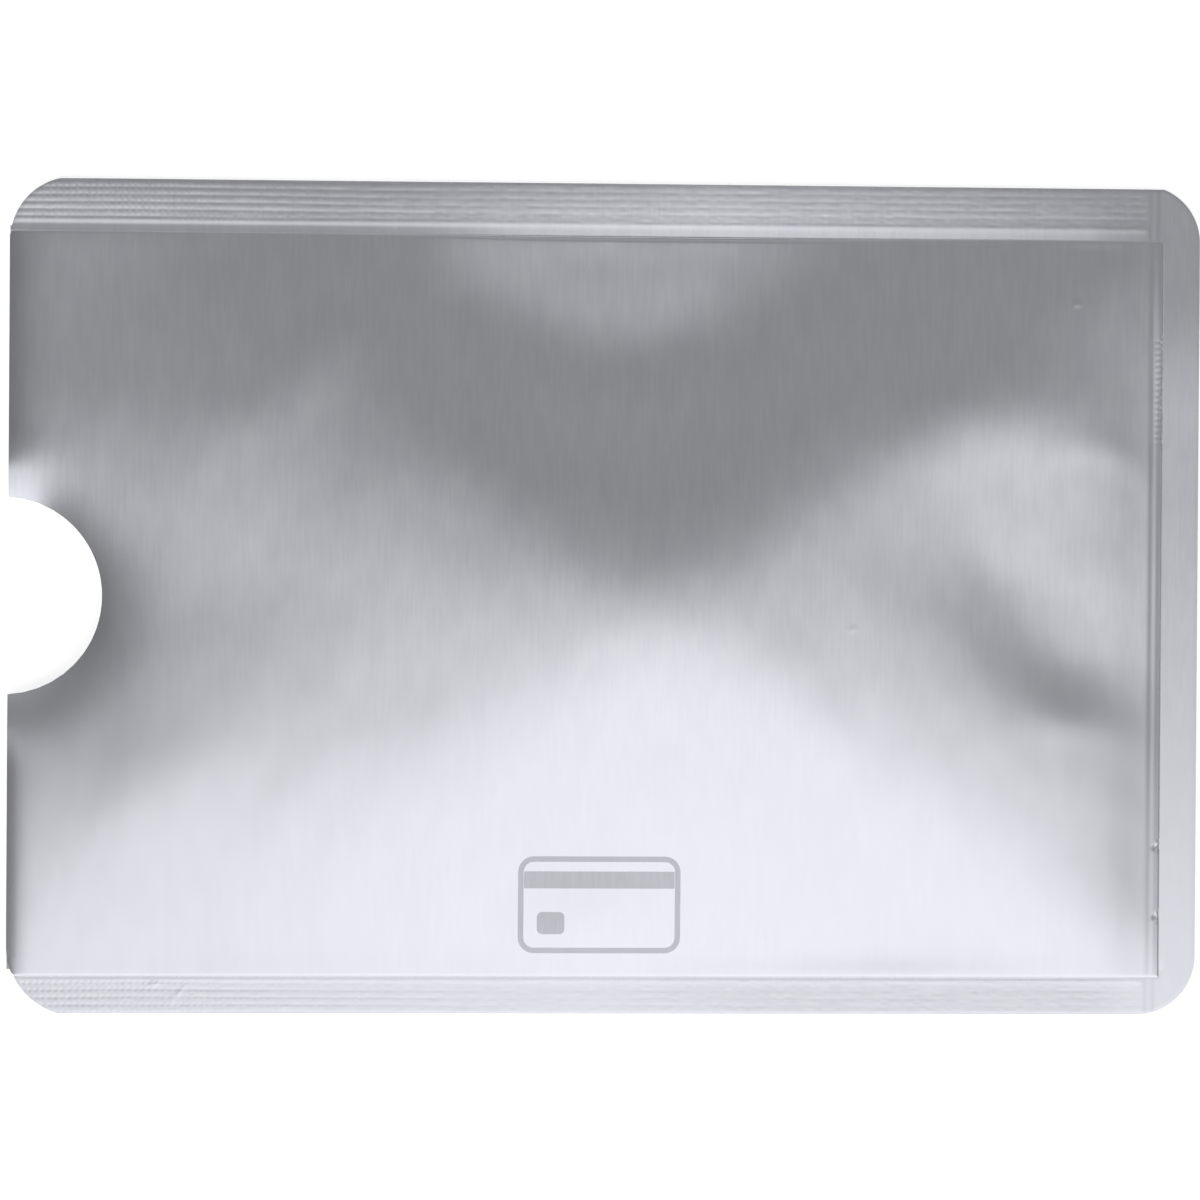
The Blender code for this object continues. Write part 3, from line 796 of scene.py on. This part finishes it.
def studio():
    """Soft light all round, a broad lit panel towards -Y of the zenith and a dark one towards +Y."""
    world = bpy.data.worlds.new("studio")
    bpy.context.scene.world = world
    world.use_nodes = True
    graph = Graph(world.node_tree)
    direction = graph.add("ShaderNodeTexCoord").outputs["Generated"]
    parts = graph.add("ShaderNodeSeparateXYZ", (), {"Vector": direction})
    x, y, z = (parts.outputs[axis] for axis in "XYZ")
    to_mouth = graph.math("MULTIPLY", x, -1.0)
    past_mouth = graph.math("MAXIMUM", graph.math("SUBTRACT", to_mouth, MOUTH_EDGE_AT), 0.0)
    past_end = graph.math("MAXIMUM", graph.math("SUBTRACT", x, END_EDGE_AT), 0.0)
    aside = graph.math("ADD", y, graph.math("MULTIPLY", past_mouth, MOUTH_EDGE_SLANT))
    aside = graph.math("ADD", aside, graph.math("MULTIPLY", past_end, END_EDGE_SLANT))
    panel = graph.ramp(aside, DARK_AT, LIT_AT, DARK, LIT)
    panel = graph.math("ADD", panel, graph.ramp(y, FAR_LIGHT_FROM, FAR_LIGHT_TO, 0, FAR_LIGHT))
    panel = graph.math("MULTIPLY", panel, graph.ramp(to_mouth, DIM_FROM, DIM_TO, 1, MOUTH_DIM))
    walls = graph.math("SUBTRACT", WALL_LIGHT, graph.math("MULTIPLY", x, WALL_FALL_X))
    walls = graph.math("SUBTRACT", walls, graph.math("MULTIPLY", y, WALL_FALL_Y))
    low_down = graph.ramp(z, WALLS_FROM, WALLS_TO)
    lit = graph.add("ShaderNodeMix", {"data_type": "FLOAT"},
                    {"Factor": low_down, "A": panel, "B": walls})
    background = world.node_tree.nodes["Background"]
    graph.tree.links.new(lit.outputs["Result"], background.inputs["Strength"])
    background.inputs["Color"].default_value = (1, 1, 1, 1)


def camera():
    """From nearly straight above, a little towards the mouth, with a slight roll."""
    distance = 0.42
    tilt_to_mouth = math.radians(3.55)
    tilt_up = math.radians(0.6)
    roll = math.radians(0.38)
    aim = Vector((-0.5 * MM, -0.08 * MM, 0))
    focal_px, picture_px = 5495, 1200
    out = Vector((-math.sin(tilt_to_mouth), math.sin(tilt_up), 0))
    out.z = math.sqrt(1 - out.length_squared)
    right = Vector((0, 1, 0)).cross(out).normalized()
    up = out.cross(right)
    turned_right = math.cos(roll) * right + math.sin(roll) * up
    turned_up = -math.sin(roll) * right + math.cos(roll) * up
    data = bpy.data.cameras.new("camera")
    data.sensor_width = 36
    data.lens = data.sensor_width * focal_px / picture_px
    eye = bpy.data.objects.new("camera", data)
    bpy.context.scene.collection.objects.link(eye)
    eye.matrix_world = Matrix.Translation(aim + distance * out) @ Matrix(
        (turned_right, turned_up, out)).transposed().to_4x4()
    bpy.context.scene.camera = eye


film = silver_film("silver_film", 0.35)
back_film = silver_film("silver_back_film", 1.0)
foil = plain_metal("bare_foil", (0.86, 0.87, 0.88), 0.25)
liner = plain_metal("seal_film", (0.80, 0.81, 0.82), 0.45)
fused = plain_metal("fused_film", (0.74, 0.75, 0.76), 0.5)
ink = plain_metal("grey_ink", (0.69, 0.71, 0.76), 0.32)
front_wall(film, foil, liner, fused)
back_wall(back_film, foil, liner)
printed_mark(ink)
floor_piece()
studio()
camera()
bpy.context.scene.view_settings.view_transform = "Standard"
